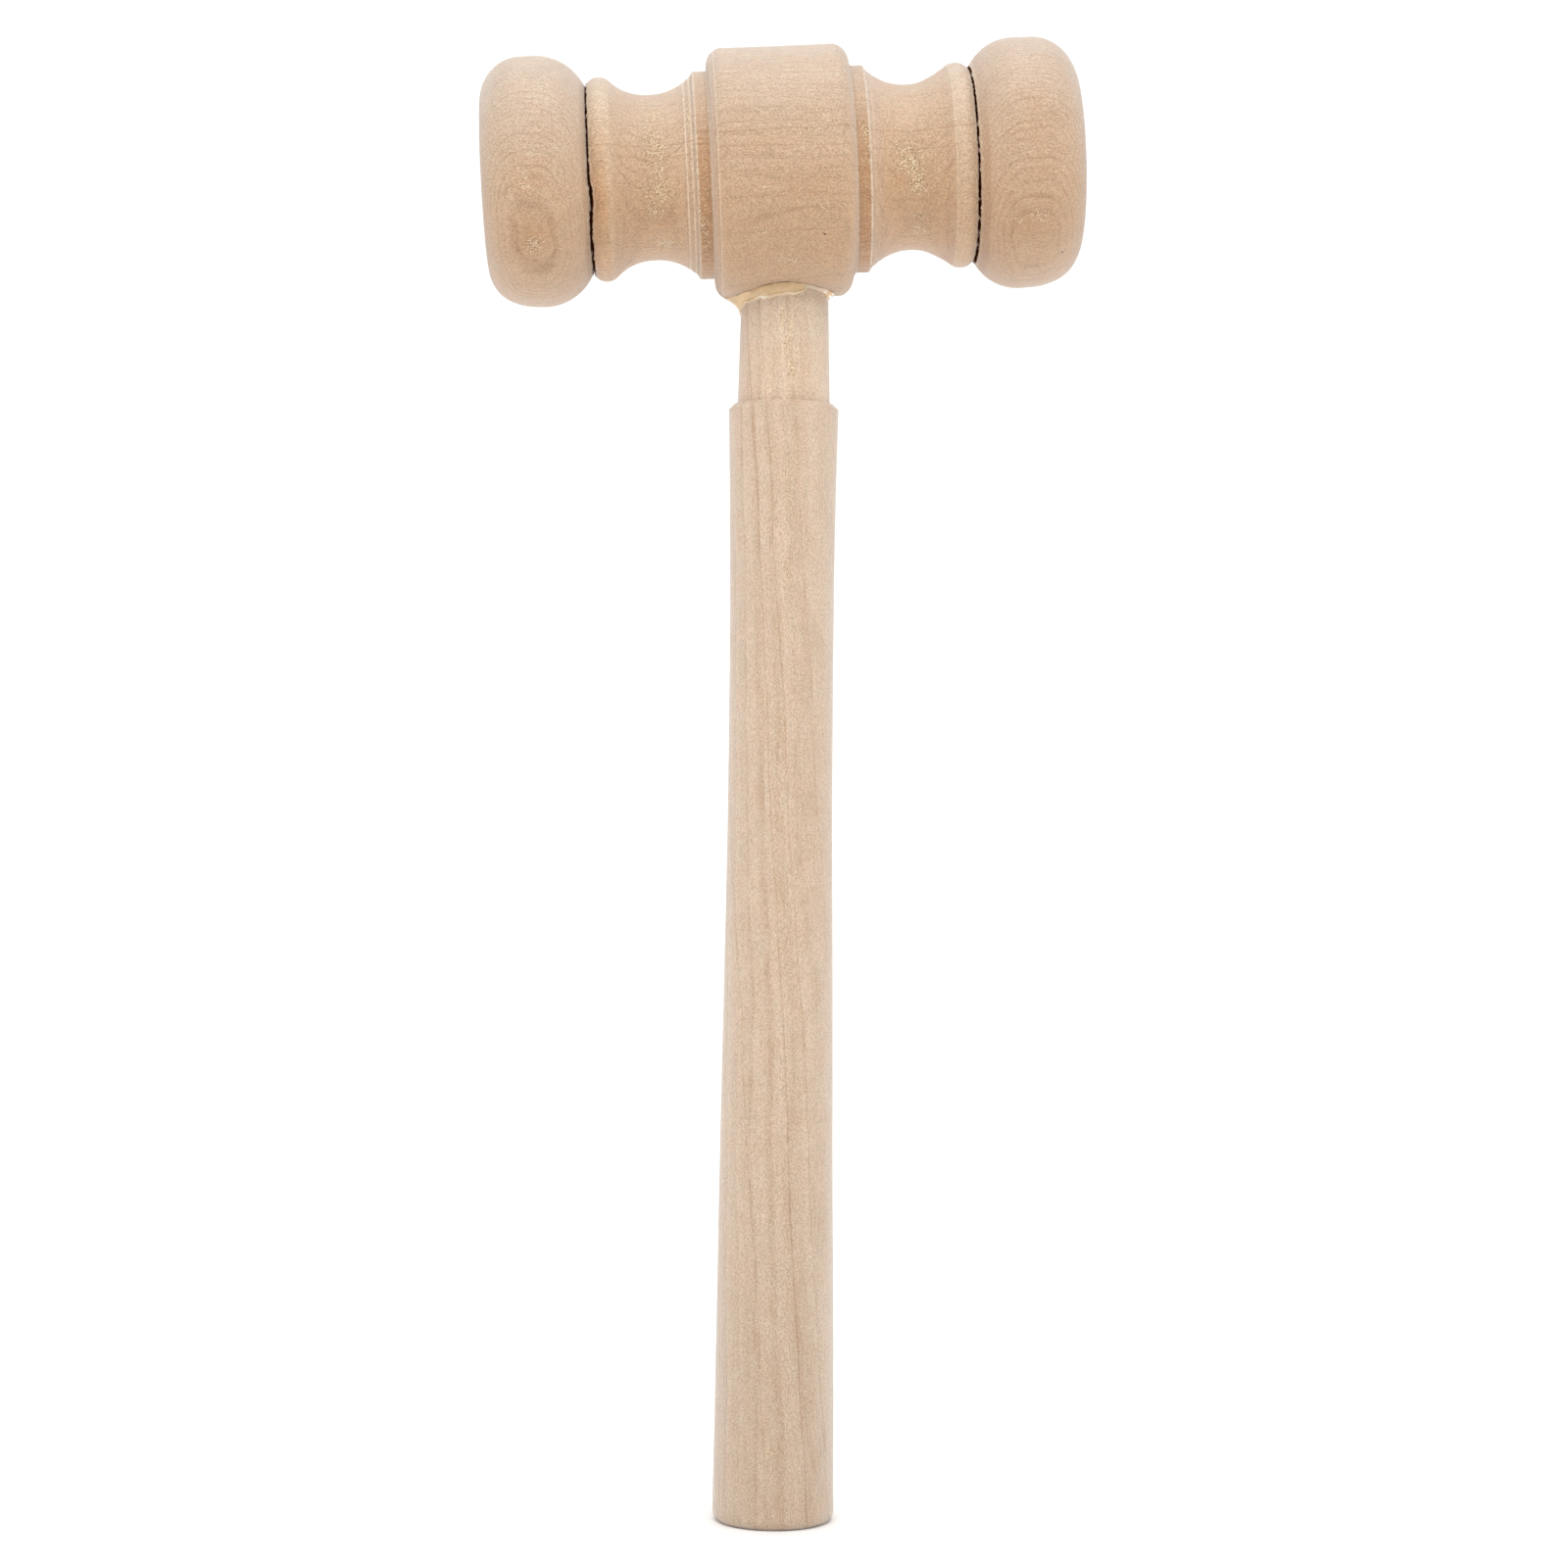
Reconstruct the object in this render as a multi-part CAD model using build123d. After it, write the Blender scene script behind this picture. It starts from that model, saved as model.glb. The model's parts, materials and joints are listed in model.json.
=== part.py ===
"""Carving mallet: a turned cross head on a turned wooden handle.

The head is three turnings in one line: a body (barrel, collars, coves and
beads) with a round knob glued on each end over a fluted dowel.  The handle's
tenon is glued into a blind socket bored up into the barrel.

Frame, in mm: +Z runs up the handle towards the head, +X runs along the head.
The origin is the centre of the flat end of the handle.
"""
from build123d import *
import math
import os

os.makedirs("parts", exist_ok=True)

# ---------------------------------------------------------------- handle
grip_end_r = 10.35      # radius of the fat end the palm closes on
grip_low_r = 9.87       # lower part of the grip
grip_mid_r = 9.17       # middle of the grip
grip_waist_r = 8.8      # slimmest place, just below the shoulder
grip_top_r = 9.3        # swelling under the shoulder
grip_low_z = 40.0
grip_mid_z = 95.0
grip_waist_z = 150.0
shoulder_z = 189.45     # top of the grip, where the neck starts
end_round = 1.6         # rounded edge of the flat end
shoulder_bevel = 0.9    # bevel on the rim of the shoulder
neck_low_r = 7.8        # neck where it leaves the shoulder
neck_high_r = 7.4       # neck where it enters the head
tenon_r = 7.35          # part of the handle inside the head
tenon_start_z = 207.15  # just below the barrel
tenon_top_z = 236.2
tenon_bevel = 0.8
socket_top_z = 237.0    # blind end of the socket, a little past the tenon

# ---------------------------------------------------------------- head
head_x = -0.95          # centre of the head, slightly off the handle's axis
head_z = 228.9          # height of the head's own axis at its centre
head_lean = 3.2         # degrees: the head's +X end sits higher than square
left_length = 50.2      # centre of the head to the -X end face
right_length = 50.45    # centre of the head to the +X end face

barrel_half = 11.9      # half the length of the thick centre barrel
barrel_r = 21.1
barrel_round = 2.7      # rounded rims of the barrel
collar_end = 14.6       # where each narrow collar beside the barrel ends
collar_r = 17.4
collar_round = 0.5
cove_x = 21.7           # deepest place of each hollow cove
cove_r = 13.85          # radius of the head there
cove_sweep = 9.9        # radius of the hollow's own curve
bead_start = 28.5       # where the cove runs out into the bead
bead_x = 30.2           # crest of the bead
bead_r = 17.15
seam_x = 32.35          # middle of the glue line between bead and knob
seam_gap = 0.3          # thickness of that glue line
seam_r = 16.1           # radius at the bottom of the V beside the seam
seam_glue_r = 15.3      # the glue stops short, so the seam reads as a slit

knob_r = 21.0
left_inner_x = 40.9     # where the inner rounding reaches full radius
left_inner_round = 9.2
left_outer_round = 7.1
right_inner_x = 39.9
right_inner_round = 8.2
right_outer_round = 7.5

# ---------------------------------------------------------------- joints
dowel_r = 5.0
dowel_in_body = 18.0    # depth of the dowel in the head body
dowel_in_knob = 12.0    # depth of the dowel in the knob
dowel_bevel = 0.8
flute_count = 12
flute_r = 0.45          # radius of each straight groove along a dowel
hole_clearance = 0.1    # glue space all round a dowel
hole_end_space = 0.8    # air beyond each dowel end
socket_clearance = 0.15  # glue space round the tenon
squeeze_low_z = 205.55  # where squeezed-out glue feathers out on the neck
squeeze_high_z = 211.65 # inside the barrel, trimmed to its surface
squeeze_spread = 2.9    # how far the squeeze-out would spread at that height
squeeze_shift = -0.4    # more glue came out on the -X side


def spin_about_x(edges):
    """Solid turned about the X axis from a closed outline drawn in XY."""
    return revolve(make_face(edges), axis=Axis.X)


def cove_radius(x):
    """Radius of the head inside a cove, at distance x from the centre."""
    drop = math.sqrt(cove_sweep**2 - (x - cove_x) ** 2)
    return cove_r + cove_sweep - drop


def head_body_half():
    """The +X half of the head body, from the centre out to the bead."""
    face_x = seam_x - seam_gap / 2
    barrel_rim = JernArc((barrel_half - barrel_round, barrel_r), (1, 0), barrel_round, -90)
    collar_rim = JernArc((collar_end - collar_round, collar_r), (1, 0), collar_round, -90)
    cove = ThreePointArc(
        (collar_end, cove_radius(collar_end)),
        (cove_x, cove_r),
        (bead_start, cove_radius(bead_start)),
    )
    bead = ThreePointArc(cove @ 1, (bead_x, bead_r), (face_x, seam_r))
    outline = [
        Line((0, 0), (0, barrel_r)),
        Line((0, barrel_r), barrel_rim @ 0),
        barrel_rim,
        Line(barrel_rim @ 1, (barrel_half, collar_r)),
        Line((barrel_half, collar_r), collar_rim @ 0),
        collar_rim,
        Line(collar_rim @ 1, cove @ 0),
        cove,
        bead,
        Line(bead @ 1, (face_x, 0)),
        Line((face_x, 0), (0, 0)),
    ]
    return spin_about_x(outline)


def knob(length, inner_x, inner_round, outer_round):
    """A knob on the +X side: a thick disc with both rims fully rounded."""
    face_x = seam_x + seam_gap / 2
    across = inner_x - face_x
    centre_r = knob_r - inner_round
    start_r = centre_r + math.sqrt(inner_round**2 - across**2)
    middle = math.radians(125)
    middle_x = inner_x + inner_round * math.cos(middle)
    middle_r = centre_r + inner_round * math.sin(middle)
    inner = ThreePointArc((face_x, start_r), (middle_x, middle_r), (inner_x, knob_r))
    outer = JernArc((length - outer_round, knob_r), (1, 0), outer_round, -90)
    outline = [
        Line((face_x, 0), inner @ 0),
        inner,
        Line(inner @ 1, outer @ 0),
        outer,
        Line(outer @ 1, (length, 0)),
        Line((length, 0), (face_x, 0)),
    ]
    return spin_about_x(outline) - dowel_hole()


def x_cylinder(radius, start, end):
    """Cylinder lying along +X between two distances from the centre."""
    bar = extrude(Plane.YZ * Circle(radius), end - start)
    return Pos(start, 0, 0) * bar


def dowel():
    """The +X dowel: bevelled ends and straight grooves that let glue escape."""
    start = seam_x - dowel_in_body
    end = seam_x + dowel_in_knob
    pin = x_cylinder(dowel_r, start, end)
    pin = chamfer(pin.edges().filter_by(GeomType.CIRCLE), dowel_bevel)
    flute = x_cylinder(flute_r, start - 1, end + 1)
    for i in range(flute_count):
        turn = Rot(i * 360 / flute_count, 0, 0)
        pin -= turn * Pos(0, dowel_r, 0) * flute
    return pin


def dowel_hole():
    """The space bored for the +X dowel through the seam, with end room."""
    start = seam_x - dowel_in_body - hole_end_space
    end = seam_x + dowel_in_knob + hole_end_space
    return x_cylinder(dowel_r + hole_clearance, start, end)


def seam_glue():
    """The +X glue line: a thin disc in the seam and a sleeve on the dowel."""
    face = seam_gap / 2
    disc = x_cylinder(seam_glue_r, seam_x - face, seam_x + face)
    start = seam_x - dowel_in_body + dowel_bevel
    end = seam_x + dowel_in_knob - dowel_bevel
    sleeve = x_cylinder(dowel_r + hole_clearance, start, end)
    return disc + sleeve - dowel()


def handle():
    """Grip, shoulder, neck and tenon, turned from one piece."""
    rim = Line((grip_top_r, shoulder_z - shoulder_bevel), (grip_top_r - shoulder_bevel, shoulder_z))
    grip = Spline(
        (grip_end_r, end_round),
        (grip_low_r, grip_low_z),
        (grip_mid_r, grip_mid_z),
        (grip_waist_r, grip_waist_z),
        rim @ 0,
    )
    heel = JernArc((grip_end_r - end_round, 0), (1, 0), end_round, 90)
    outline = [
        Line((0, 0), heel @ 0),
        heel,
        grip,
        rim,
        Line(rim @ 1, (neck_low_r, shoulder_z)),
        Line((neck_low_r, shoulder_z), (neck_high_r, tenon_start_z)),
        Line((neck_high_r, tenon_start_z), (tenon_r, tenon_start_z)),
        Line((tenon_r, tenon_start_z), (tenon_r, tenon_top_z - tenon_bevel)),
        Line((tenon_r, tenon_top_z - tenon_bevel), (tenon_r - tenon_bevel, tenon_top_z)),
        Line((tenon_r - tenon_bevel, tenon_top_z), (0, tenon_top_z)),
        Line((0, tenon_top_z), (0, 0)),
    ]
    return revolve(Plane.XZ * make_face(outline), axis=Axis.Z)


def z_cylinder(radius, start, end):
    """Cylinder on the handle's axis between two heights."""
    return Pos(0, 0, start) * extrude(Circle(radius), end - start)


def handle_glue(head, wood):
    """Glue film round the tenon and the bead of glue squeezed out below it."""
    film = z_cylinder(tenon_r + socket_clearance, tenon_start_z, tenon_top_z - tenon_bevel)
    height = squeeze_high_z - squeeze_low_z
    middle = (squeeze_low_z + squeeze_high_z) / 2
    wide_r = neck_high_r + squeeze_spread
    bead = Pos(squeeze_shift, 0, middle) * Cone(neck_high_r - squeeze_shift / 2, wide_r, height)
    return film + (bead - head - z_cylinder(tenon_r, tenon_start_z, squeeze_high_z)) - wood


# The head's own pieces are made on the X axis, then set on the handle.
place = Pos(head_x, 0, head_z) * Rot(0, -head_lean, 0)
to_left = Rot(0, 0, 180)

right_half = head_body_half()
body = right_half + to_left * right_half
body -= dowel_hole()
body -= to_left * dowel_hole()
socket = z_cylinder(tenon_r + socket_clearance, tenon_start_z - 5, socket_top_z)
body = place * body - socket

left_knob = knob(left_length, left_inner_x, left_inner_round, left_outer_round)
right_knob = knob(right_length, right_inner_x, right_inner_round, right_outer_round)
handle_wood = handle()

parts = {
    "head_body": body,
    "right_knob": place * right_knob,
    "left_knob": place * to_left * left_knob,
    "right_dowel": place * dowel(),
    "left_dowel": place * to_left * dowel(),
    "right_seam_glue": place * seam_glue(),
    "left_seam_glue": place * to_left * seam_glue(),
    "handle": handle_wood,
    "handle_glue": handle_glue(body, handle_wood),
}

for name, shape in parts.items():
    solids = shape.solids()
    solid = solids[0] if len(solids) == 1 else Compound(solids)
    solid.label = name
    export_step(solid, f"parts/{name}.step")
    box = solid.bounding_box()
    print(name, len(solids), "solid", round(solid.volume, 1), "mm3", box.min, box.max)
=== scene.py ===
"""Carving mallet, visual model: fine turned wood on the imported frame.

Each wooden CAD node gets a closed lathe mesh of the same sizes, with tool
marks, torn grain and ragged seams, and a solid-wood material whose grain runs
through the piece.  Sizes named below are in mm, and meshes are in metres.
"""
import itertools
import json
import math

import bpy
import numpy as np
from mathutils import Matrix, Vector


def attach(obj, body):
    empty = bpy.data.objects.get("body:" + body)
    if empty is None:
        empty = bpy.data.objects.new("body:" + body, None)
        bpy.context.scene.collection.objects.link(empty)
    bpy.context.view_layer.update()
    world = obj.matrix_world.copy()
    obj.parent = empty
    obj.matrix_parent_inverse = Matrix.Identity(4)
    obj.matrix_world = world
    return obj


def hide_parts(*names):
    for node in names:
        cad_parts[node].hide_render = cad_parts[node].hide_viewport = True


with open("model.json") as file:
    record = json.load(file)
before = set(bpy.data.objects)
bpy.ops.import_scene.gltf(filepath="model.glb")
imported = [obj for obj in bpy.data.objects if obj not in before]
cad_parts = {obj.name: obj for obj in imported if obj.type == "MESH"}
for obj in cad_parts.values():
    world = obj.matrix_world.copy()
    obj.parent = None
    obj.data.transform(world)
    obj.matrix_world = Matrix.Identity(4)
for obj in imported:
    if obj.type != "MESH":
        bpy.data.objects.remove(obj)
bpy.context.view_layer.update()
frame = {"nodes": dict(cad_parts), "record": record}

MM = 0.001

# ------------------------------------------------------------------ frame
mounts = {mount["name"]: mount for mount in frame["record"]["mounts"]}
left_face = Vector(mounts["left_face"]["pos_m"])
right_face = Vector(mounts["right_face"]["pos_m"])
head_axis = (right_face - left_face).normalized()
head_lean = math.atan2(head_axis.z, head_axis.x)
left_length, right_length = 50.2, 50.45
head_centre = left_face + head_axis * left_length * MM

across = Vector((0, 1, 0))
head_up = head_axis.cross(across)
head_place = Matrix.Translation(head_centre) @ Matrix(
    (head_axis, across, head_up)
).transposed().to_4x4()
handle_place = Matrix(((0, 1, 0), (0, 0, 1), (1, 0, 0))).to_4x4()

# ------------------------------------------------------------- head sizes
barrel_half, barrel_r, barrel_round = 11.9, 21.1, 2.7
collar_end, collar_r, collar_round = 14.6, 17.4, 0.5
cove_x, cove_r, cove_sweep = 21.7, 13.85, 9.9
bead_start, bead_x, bead_r = 28.5, 30.2, 17.15
seam_x, seam_gap, seam_r = 32.35, 0.3, 16.1
knob_r = 21.0
left_knob_sizes = (left_length, 40.9, 9.2, 7.1)
right_knob_sizes = (right_length, 39.9, 8.2, 7.5)
hole_r, hole_in_body, hole_in_knob = 5.1, 18.8, 12.8
seam_depth = 1.2

# How each seam looks: the step in its lower line, the dark line's reach above
# and below the middle, and how far pale fibres reach into the slit there.
# The dark line is painted shade in the seam gap, partly friction burn.
left_seam = {"side": -1, "jog": 0.26, "widths": (0.06, 0.13), "bridges": (0.06, 0.02)}
right_seam = {"side": 1, "jog": 0.0, "widths": (0.055, 0.095), "bridges": (0.07, 0.06)}

# ----------------------------------------------------------- handle sizes
grip_z = (0.0, 40.0, 95.0, 150.0, 188.55)
grip_r = (10.35, 9.87, 9.17, 8.8, 9.3)
end_round = 1.6
shoulder_z, shoulder_bevel = 189.45, 0.9
neck_low_r, neck_high_r = 7.8, 7.4
tenon_r, tenon_start_z, tenon_top_z, tenon_bevel = 7.35, 207.15, 236.2, 0.8
socket_r, socket_top_z = 7.5, 237.0

# Mesh step on faces that stay out of sight.
hidden_step = 1.5


# ------------------------------------------------------------------ noise
def noise3(points, seed=0):
    """Smooth noise from -1 to 1 for each row of points, one cell per unit."""
    cell = np.floor(points).astype(np.int64)
    part = points - cell
    part = part * part * (3 - 2 * part)
    total = np.zeros(points.shape[:-1])
    for corner in itertools.product((0, 1), repeat=3):
        c = cell + corner
        h = (c[..., 0] * 73856093) ^ (c[..., 1] * 19349663) ^ (c[..., 2] * 83492791)
        h = (h ^ (seed * 2654435761)) & 0xFFFFFFFF
        h = ((h ^ (h >> 15)) * 2246822519) & 0xFFFFFFFF
        h = ((h ^ (h >> 13)) * 3266489917) & 0xFFFFFFFF
        value = ((h >> 8) & 0xFFFF) / 32767.5 - 1
        weight = np.ones(points.shape[:-1])
        for k in range(3):
            weight = weight * (part[..., k] if corner[k] else 1 - part[..., k])
        total += weight * value
    return total


def ramp(value, low, high):
    """0 below low, 1 above high, smooth between them. Either may be larger."""
    t = np.clip((value - low) / (high - low), 0, 1)
    return t * t * (3 - 2 * t)


def bump_at(value, centre, width):
    """A bell of height 1 at centre."""
    return np.exp(-(((value - centre) / width) ** 2))


# --------------------------------------------------------------- outlines
def line(start, end, step):
    """Points from start up to but not including end."""
    count = max(1, round(math.dist(start, end) / step))
    return np.linspace(start, end, count, endpoint=False)


def arc(centre, radius, start, end, step):
    """Points on an arc between two angles in degrees, without the last."""
    count = max(2, round(abs(math.radians(end - start)) * radius / step))
    angle = np.radians(np.linspace(start, end, count, endpoint=False))
    return np.column_stack((centre[0] + radius * np.cos(angle), centre[1] + radius * np.sin(angle)))


def arc_through(first, middle, last, step):
    """Points on the arc through three points, without the last."""
    a, b, c = (np.array(p, float) for p in (first, middle, last))
    chords = np.array([a - b, a - c])
    halves = np.array([a @ a - b @ b, a @ a - c @ c]) / 2
    centre = np.linalg.solve(chords, halves)
    angles = [math.degrees(math.atan2(*(p - centre)[::-1])) for p in (a, c)]
    if angles[0] - angles[1] > 180:
        angles[1] += 360
    return arc(centre, np.linalg.norm(a - centre), angles[0], angles[1], step)


def cove_radius(x):
    """Radius of the head inside a cove."""
    return cove_r + cove_sweep - np.sqrt(cove_sweep**2 - (x - cove_x) ** 2)


def cove(start, end, step):
    """Points along a cove, without the last."""
    along = np.linspace(start, end, round((end - start) / step), endpoint=False)
    return np.column_stack((along, cove_radius(along)))


def head_body_outline(fine):
    """(along, radius) from one dowel hole's end to the other's."""
    face = seam_x - seam_gap / 2
    hole_end = seam_x - hole_in_body
    rim = (barrel_half - barrel_round, barrel_r - barrel_round)
    collar = (collar_end - collar_round, collar_r - collar_round)
    grooves_end = collar_end + 2.2
    cove_start = (collar_end, cove_radius(collar_end))
    cove_end = (bead_start, cove_radius(bead_start))
    bead = arc_through(cove_end, (bead_x, bead_r), (face, seam_r), fine)
    half = [
        line((0, barrel_r), (rim[0], barrel_r), fine * 1.4),
        arc(rim, barrel_round, 90, 0, fine),
        line((barrel_half, rim[1]), (barrel_half, collar_r), fine),
        line((barrel_half, collar_r), (collar[0], collar_r), fine),
        arc(collar, collar_round, 90, 0, fine / 2),
        line((collar_end, collar[1]), cove_start, fine),
        cove(collar_end, grooves_end, fine / 2),
        cove(grooves_end, bead_start, fine),
        bead[:-2],
        line(bead[-2], (face, seam_r), fine / 4),
        line((face, seam_r), (face, seam_r - seam_depth), fine / 2),
        line((face, seam_r - seam_depth), (face, hole_r), hidden_step),
        line((face, hole_r), (hole_end, hole_r), hidden_step),
        line((hole_end, hole_r), (hole_end, 0), hidden_step),
        [(hole_end, 0)],
    ]
    right = np.vstack(half)
    left = right[:0:-1] * (-1, 1)
    return np.vstack((left, right))


def knob_outline(fine, length, inner_x, inner_round, outer_round):
    """(along, radius) of a +X knob, from the hole's end to the end face."""
    face = seam_x + seam_gap / 2
    hole_end = seam_x + hole_in_knob
    centre_r = knob_r - inner_round
    start = math.degrees(math.acos((face - inner_x) / inner_round))
    start_r = centre_r + inner_round * math.sin(math.radians(start))
    crest_end = length - outer_round
    flat_r = knob_r - outer_round
    return np.vstack((
        line((hole_end, 0), (hole_end, hole_r), hidden_step),
        line((hole_end, hole_r), (face, hole_r), hidden_step),
        line((face, hole_r), (face, start_r - seam_depth), hidden_step),
        line((face, start_r - seam_depth), (face, start_r), fine / 2),
        arc((inner_x, centre_r), inner_round, start, start - 4, fine / 4),
        arc((inner_x, centre_r), inner_round, start - 4, 90, fine),
        line((inner_x, knob_r), (crest_end, knob_r), fine),
        arc((crest_end, flat_r), outer_round, 90, 0, fine),
        line((length, flat_r), (length, 0), 0.5),
        [(length, 0)],
    ))


def handle_outline(fine):
    """(along, radius) from the flat end to the top of the tenon."""
    curve = np.polyfit(grip_z, grip_r, len(grip_z) - 1)
    bevel_z = shoulder_z - shoulder_bevel
    along = np.arange(end_round, bevel_z, fine * 3)
    grip = np.column_stack((along, np.polyval(curve, along)))
    heel_r = grip[0, 1] - end_round
    top_r = grip_r[-1]
    bevel_start = (tenon_top_z - tenon_bevel, tenon_r)
    bevel_end = (tenon_top_z, tenon_r - tenon_bevel)
    return np.vstack((
        line((0, 0), (0, heel_r), 0.8),
        arc((end_round, heel_r), end_round, 180, 90, fine / 1.5),
        grip,
        line((bevel_z, top_r), (shoulder_z, top_r - shoulder_bevel), fine),
        line((shoulder_z, top_r - shoulder_bevel), (shoulder_z, neck_low_r), fine / 2),
        line((shoulder_z, neck_low_r), (tenon_start_z, neck_high_r), fine),
        line((tenon_start_z, tenon_r), bevel_start, hidden_step),
        line(bevel_start, bevel_end, tenon_bevel / 2),
        line(bevel_end, (tenon_top_z, 0), hidden_step),
        [(tenon_top_z, 0)],
    ))


# ----------------------------------------------------------------- meshes
def new_object(name, points, faces, smooth=True):
    """A mesh object in the scene, from points in metres."""
    mesh = bpy.data.meshes.new(name)
    mesh.from_pydata(points.tolist(), [], faces)
    mesh.polygons.foreach_set("use_smooth", [smooth] * len(mesh.polygons))
    mesh.update()
    piece = bpy.data.objects.new(name, mesh)
    bpy.context.collection.objects.link(piece)
    return piece


def add_values(piece, name, values):
    """A number at each vertex that the material reads by name."""
    layer = piece.data.attributes.new(name, "FLOAT", "POINT")
    layer.data.foreach_set("value", values.astype(np.float32))


def turned(name, outline, segments, place, surface):
    """A closed solid of revolution, after surface(grid) has worked it over."""
    grid = Grid(outline, segments, place is handle_place)
    surface(grid)
    ring = np.stack((
        grid.along, grid.radius * grid.cos, grid.radius * grid.sin,
    ), axis=-1).reshape(-1, 3)
    poles = np.array([[outline[0, 0], 0, 0], [outline[-1, 0], 0, 0]])
    local = np.vstack((ring, poles)) * MM
    matrix = np.array(place)
    points = local @ matrix[:3, :3].T + matrix[:3, 3]
    rows = len(outline) - 2
    index = np.arange(rows * segments).reshape(rows, segments)
    after = np.roll(index, -1, axis=1)
    quads = np.stack((index[:-1], after[:-1], after[1:], index[1:]), axis=-1).reshape(-1, 4)
    first, last = rows * segments, rows * segments + 1
    start_fan = [(first, int(b), int(a)) for a, b in zip(index[0], after[0])]
    end_fan = [(last, int(a), int(b)) for a, b in zip(index[-1], after[-1])]
    piece = new_object(name, points, quads.tolist() + start_fan + end_fan)
    zero = np.zeros(2)
    for layer in ("ruddy", "torn", "mark", "dark"):
        add_values(piece, layer, np.concatenate((getattr(grid, layer).ravel(), zero)))
    return piece


class Grid:
    """The rings of a turned piece: one row for each outline point.

    front is each column's angle in degrees from the -Y side: upwards on the
    head, and to the right on the handle.  ruddy is warmer wood, and on the
    collars also painted shade; torn is how plucked the grain is, mark a pale
    fibre, and dark is painted shade in the seams, partly burn, and dark pits.
    """

    def __init__(self, outline, segments, upright):
        turn = np.arange(segments) * 2 * math.pi / segments
        sides = (np.cos(turn), -np.sin(turn)) if upright else (np.sin(turn), -np.cos(turn))
        self.front = np.degrees(np.arctan2(*sides))
        rows = outline[1:-1]
        self.along = np.repeat(rows[:, :1], segments, axis=1)
        self.radius = np.repeat(rows[:, 1:], segments, axis=1)
        self.cos = np.repeat(np.cos(turn)[None], len(rows), axis=0)
        self.sin = np.repeat(np.sin(turn)[None], len(rows), axis=0)
        self.ruddy, self.torn, self.mark, self.dark = np.zeros((4, len(rows), segments))

    def solid(self, along_cell, cell, seed):
        """Noise through the wood: cell sizes in mm along and across."""
        points = np.stack((
            self.along / along_cell,
            self.radius * self.cos / cell,
            self.radius * self.sin / cell,
        ), axis=-1)
        return noise3(points, seed)

    def spot(self, along, angle, half_along, half_round):
        """A soft oval: 1 at its middle, sizes in mm, on the outside only."""
        away = (self.front - angle + 180) % 360 - 180
        u = (self.along - along) / half_along
        v = np.radians(away)[None] * self.radius / half_round
        return np.exp(-(u**2) - v**2) * (self.radius > hole_r + 1)

    def tears(self, patches):
        """Torn grain in soft ovals: (along, angle, half along, half round, depth)."""
        for along, angle, half_along, half_round, depth in patches:
            oval = self.spot(along, angle, half_along, half_round)
            patchy = 0.95 + 0.6 * self.solid(0.9, 0.9, 51)
            self.torn += depth * oval * patchy
        self.radius -= np.clip(self.torn, 0, 1) * (0.03 + 0.07 * self.solid(0.45, 0.4, 52))

    def flush(self, patches):
        """Ovals of ruddier wood: (along, angle, half along, half round, depth)."""
        for along, angle, half_along, half_round, depth in patches:
            self.ruddy += depth * self.spot(along, angle, half_along, half_round)

    def dots(self, places):
        """Small dark pits: (along, angle, size, strength)."""
        for along, angle, size, strength in places:
            self.dark += self.spot(along, angle, size, size) * strength


class Part(Grid):
    """Some of a grid's rows, worked on as a smaller grid."""

    worked = ("along", "radius", "mark", "dark")

    def __init__(self, grid, chosen):
        self.grid = grid
        self.rows = np.nonzero(chosen[:, 0])[0]
        self.front = grid.front
        for name in (*self.worked, "cos", "sin"):
            setattr(self, name, getattr(grid, name)[self.rows].copy())

    def put_back(self):
        """Copies what was worked on back to the whole grid."""
        for name in self.worked:
            getattr(self.grid, name)[self.rows] = getattr(self, name)


# ------------------------------------------------- surface of each turning
def seam_edge(grid, lip, side, jog, widths, bridges):
    """Wavers the edge beside a seam, frays it and darkens the slit and its rim with painted shade, partly
    burn.

    lip is 1 for a knob's edge and -1 for a bead's.  The rest is left_seam or
    right_seam, whose side is -1 or 1.
    """
    rim = grid.radius > seam_r - 0.8
    distance = (grid.along * side - seam_x) * lip - seam_gap / 2
    near = ramp(distance, 1.6, 0.0) * (grid.radius > hole_r + 1)
    low = ramp(grid.front, 4, -14) * ramp(grid.front, -150, -110)
    step = ramp(grid.front, -12.5, -14.5) * ramp(grid.front, -40, -22)
    grid.along += near * jog * step[None]
    ragged = grid.solid(0.6, 0.5, 21)
    picket = grid.solid(1.2, 0.42, 22)
    at_edge = ramp(distance, 0.35, 0.0) * rim
    reach = bridges[0] + (bridges[1] - bridges[0]) * low[None]
    grid.along += side * -lip * at_edge * (0.06 + ramp(picket, 0.0, 0.5) * reach)
    width = widths[0] + (widths[1] - widths[0]) * low[None]
    # The slit's walls and a ragged strip along its rim are painted dark: painted shade in the gap, partly
    # friction burn.
    on_face = abs(distance) < 0.02
    edge = np.clip(distance, 0, None) - width * (0.9 + 0.8 * ragged)
    burn_and_shade = ramp(edge, 0.05, 0.0) * rim
    grid.dark += np.maximum(burn_and_shade, on_face * 1.0) * (1 - 0.85 * at_edge * ramp(picket, 0.15, 0.6))
    fibres = ramp(grid.solid(0.35, 0.3, 23), 0.42, 0.75) * ramp(distance, 0.6, 0.2)
    worn = bump_at(edge, 0.2, 0.13) * (0.55 + 0.6 * ragged) * (distance > 0.02)
    grid.mark += (fibres * ramp(edge, 0.0, 0.15) + np.clip(worn, 0, 1)) * rim


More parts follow.
